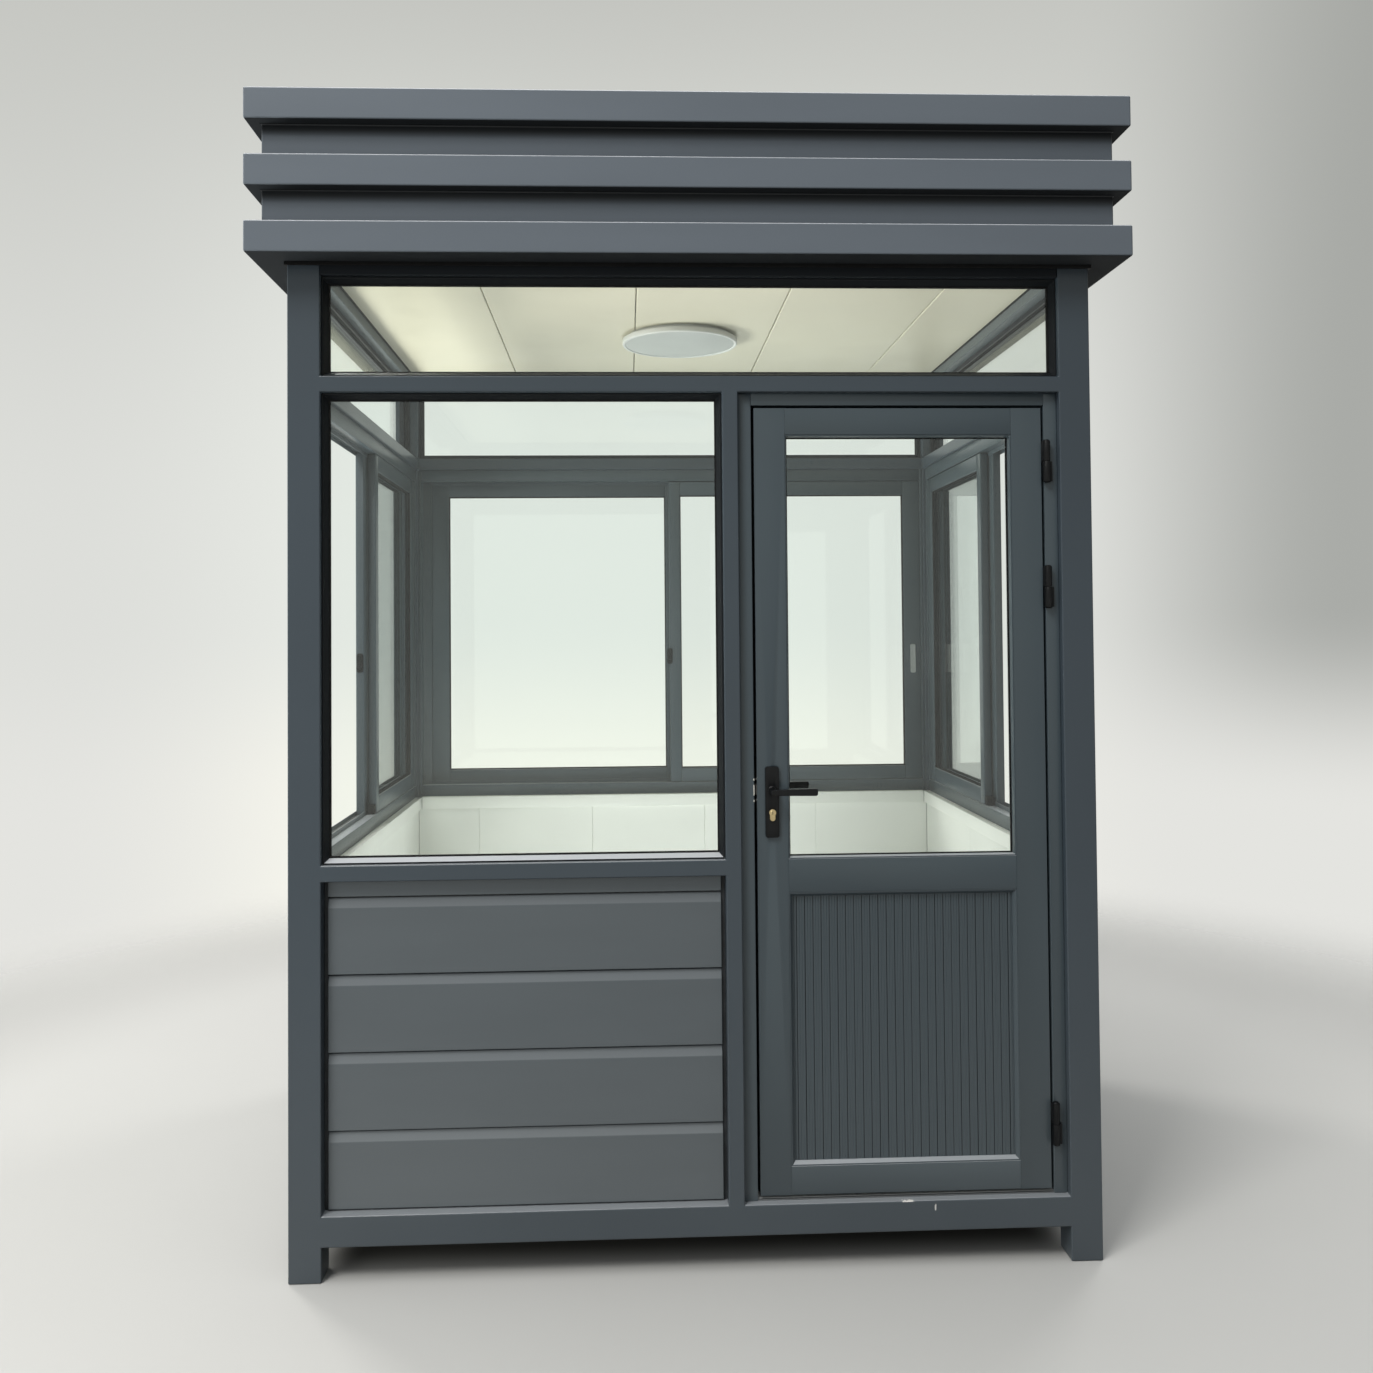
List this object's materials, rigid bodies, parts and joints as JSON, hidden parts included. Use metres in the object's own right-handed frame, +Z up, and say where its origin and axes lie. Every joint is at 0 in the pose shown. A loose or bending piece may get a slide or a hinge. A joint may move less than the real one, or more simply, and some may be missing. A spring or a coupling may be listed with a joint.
{
  "type": "security guard booth",
  "caption": "Small steel-framed guard booth on short legs: board siding below, sliding windows, glazed front with a hinged door and lever handle, and a flat roof behind a banded fascia.",
  "frame": {"origin": "on the ground under the middle of the booth", "axes": "+Z up, the door faces -Y, +X to the right seen from the door's side"},
  "size_m": [2.164, 1.664, 2.885],
  "materials": {
    "steel": "satin slate-grey powder coat",
    "siding": "satin slate-grey coated board siding",
    "alloy": "satin slate-grey powder-coated aluminium",
    "threshold": "satin slate grey, worn",
    "lining": "smooth off-white coated panel",
    "floor": "matt vinyl floor sheet",
    "glass": "clear float glass",
    "black_metal": "satin black",
    "lamp_metal": "white enamel",
    "diffuser": "translucent opal",
    "pull_metal": "satin",
    "brass": "satin"
  },
  "bodies": {
    "booth": {"corner_posts": "steel", "base_rails": "steel", "sill_rails": "steel", "mid_rails": "steel", "header_rails": "steel", "door_mullion": "steel", "floor_joists": "steel", "front_fascia": "steel", "rear_fascia": "steel", "left_fascia": "steel", "right_fascia": "steel", "roof_deck": "steel", "transom_beads": "steel", "front_window_beads": "steel", "front_siding": "siding", "rear_siding": "siding", "left_siding": "siding", "right_siding": "siding", "window_jambs": "alloy", "window_tracks": "alloy", "sash_stiles": "alloy", "sash_rails": "alloy", "door_jambs": "alloy", "door_head": "alloy", "door_threshold": "threshold", "wall_linings": "lining", "lining_caps": "lining", "ceiling_panel": "lining", "floor_panel": "floor", "transom_panes": "glass", "front_window_pane": "glass", "sash_panes": "glass", "hinge_pins": "black_metal", "window_locks": "black_metal", "lamp_base": "lamp_metal", "lamp_diffuser": "diffuser", "window_pull": "pull_metal"},
    "door": {"door_stiles": "alloy", "door_rails": "alloy", "door_pane": "glass", "door_panel": "siding", "hinge_sleeves": "black_metal", "handle_plates": "black_metal", "lock_cylinder": "brass"},
    "lever": {"door_lever": "black_metal"}
  },
  "joints": [
    {"name": "door_swing", "type": "hinge", "parent": "booth", "child": "door", "pos_m": [0.889, -0.7405, 1.1505], "axis": [0, 0, 1], "range_deg": [0, 150]},
    {"name": "lever_turn", "type": "hinge", "parent": "door", "child": "lever", "pos_m": [0.187, -0.708, 1.173], "axis": [0, 1, 0], "range_deg": [0, 40], "stiffness_Nm_per_rad": 1.2, "springref_deg": -28.65}
  ]
}
